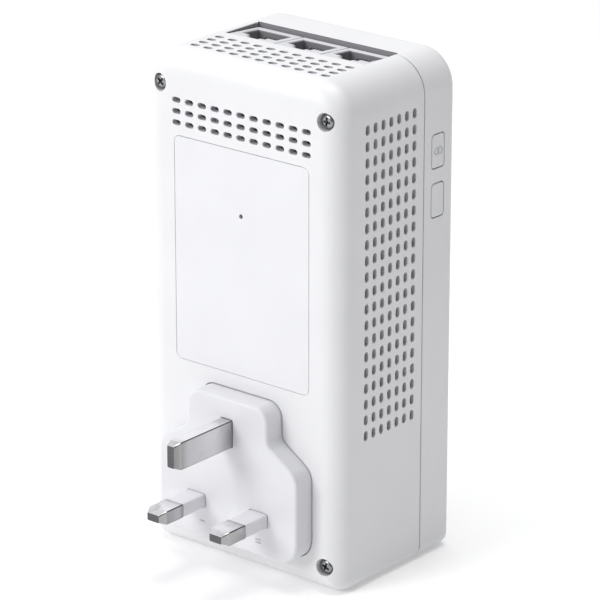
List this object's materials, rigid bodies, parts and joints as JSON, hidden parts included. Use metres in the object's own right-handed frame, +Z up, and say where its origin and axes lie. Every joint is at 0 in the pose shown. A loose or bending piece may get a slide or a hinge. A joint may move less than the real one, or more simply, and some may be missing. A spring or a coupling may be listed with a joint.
{
  "type": "powerline adapter",
  "caption": "Wall-plug powerline network adapter: vented two-part housing with a moulded three-pin plug, top network jacks, side push buttons and a shuttered pass-through socket.",
  "frame": {"origin": "midway between the line and neutral pins, on the flat face of the plug", "axes": "+Z up along the tall side towards the jacks, -Y out of the plug face along the pins, +X towards the side with the buttons"},
  "size_m": [0.068, 0.0781, 0.143],
  "materials": {
    "shell": "satin white moulded plastic",
    "label": "smooth white film",
    "plug": "satin pale grey moulded plastic",
    "sleeve": "satin grey insulating plastic",
    "pin": "plated brass, satin with fine draw lines",
    "screw": "zinc plated steel",
    "jack": "satin light grey moulded plastic",
    "gold": "gold flash on spring alloy",
    "button": "satin white moulded plastic",
    "black_plastic": "matt black plastic",
    "logic_laminate": "green solder mask",
    "power_laminate": "bare brown laminate",
    "chip": "black moulding resin",
    "ferrite": "dark sintered ferrite",
    "tape": "yellow polyester tape",
    "capacitor": "dark shrink sleeve",
    "filter_box": "yellow potted case",
    "ceramic": "pale moulded fuse case",
    "varistor_coat": "blue dipped epoxy",
    "copper": "enamelled copper wire",
    "aluminium": "extruded aluminium",
    "led": "clear resin over phosphor",
    "clear": "clear moulded light guide",
    "brass": "pressed brass strip",
    "shutter": "satin pale plastic",
    "spring_steel": "bright spring wire"
  },
  "bodies": {
    "housing": {"rear_shell": "shell", "front_shell": "shell", "plug_base": "plug", "earth_pin": "pin", "line_pin": "pin", "neutral_pin": "pin", "line_pin_sleeve": "sleeve", "neutral_pin_sleeve": "sleeve", "rating_label": "label", "housing_screw_1": "screw", "housing_screw_2": "screw", "housing_screw_3": "screw", "housing_screw_4": "screw", "power_board_screw_1": "screw", "power_board_screw_2": "screw", "logic_board_screw_1": "screw", "logic_board_screw_2": "screw", "pair_switch_body": "black_plastic", "reset_switch_body": "black_plastic", "ethernet_jack_1": "jack", "ethernet_jack_2": "jack", "ethernet_jack_3": "jack", "ethernet_contacts_1": "gold", "ethernet_contacts_2": "gold", "ethernet_contacts_3": "gold", "logic_board": "logic_laminate", "power_board": "power_laminate", "powerline_chip": "chip", "ethernet_switch_chip": "chip", "memory_chip": "chip", "heat_sink": "aluminium", "coupling_transformer": "ferrite", "transformer_core": "ferrite", "transformer_winding": "tape", "board_header": "black_plastic", "bulk_capacitor": "capacitor", "output_capacitor": "capacitor", "filter_capacitor": "filter_box", "fuse": "ceramic", "varistor": "varistor_coat", "common_mode_choke": "copper", "status_led_1": "led", "status_led_2": "led", "status_led_3": "led", "light_pipe_1": "clear", "light_pipe_2": "clear", "light_pipe_3": "clear", "socket_block": "plug", "socket_contact_line": "brass", "socket_contact_neutral": "brass", "socket_contact_earth": "brass", "shutter_spring": "spring_steel"},
    "pair_button": {"pair_button": "button"},
    "pair_plunger": {"pair_switch_plunger": "button"},
    "reset_button": {"reset_button": "button"},
    "reset_plunger": {"reset_switch_plunger": "button"},
    "shutter": {"socket_shutter": "shutter"}
  },
  "joints": [
    {"name": "pair_button_press", "type": "slide", "parent": "housing", "child": "pair_button", "axis": [-1, 0, 0], "range_m": [0, 0.0005], "stiffness_N_per_m": 800},
    {"name": "pair_plunger_press", "type": "slide", "parent": "housing", "child": "pair_plunger", "axis": [-1, 0, 0], "range_m": [0, 0.0005]},
    {"name": "reset_button_press", "type": "slide", "parent": "housing", "child": "reset_button", "axis": [-1, 0, 0], "range_m": [0, 0.0005], "stiffness_N_per_m": 800},
    {"name": "reset_plunger_press", "type": "slide", "parent": "housing", "child": "reset_plunger", "axis": [-1, 0, 0], "range_m": [0, 0.0005]},
    {"name": "socket_shutter_slide", "type": "slide", "parent": "housing", "child": "shutter", "axis": [0, 0, -1], "range_m": [0, 0.006], "stiffness_N_per_m": 150, "deforming": ["shutter_spring"]}
  ],
  "couplings": [
    {"joint": "pair_plunger_press", "follows": "pair_button_press", "ratio": 1},
    {"joint": "reset_plunger_press", "follows": "reset_button_press", "ratio": 1}
  ]
}
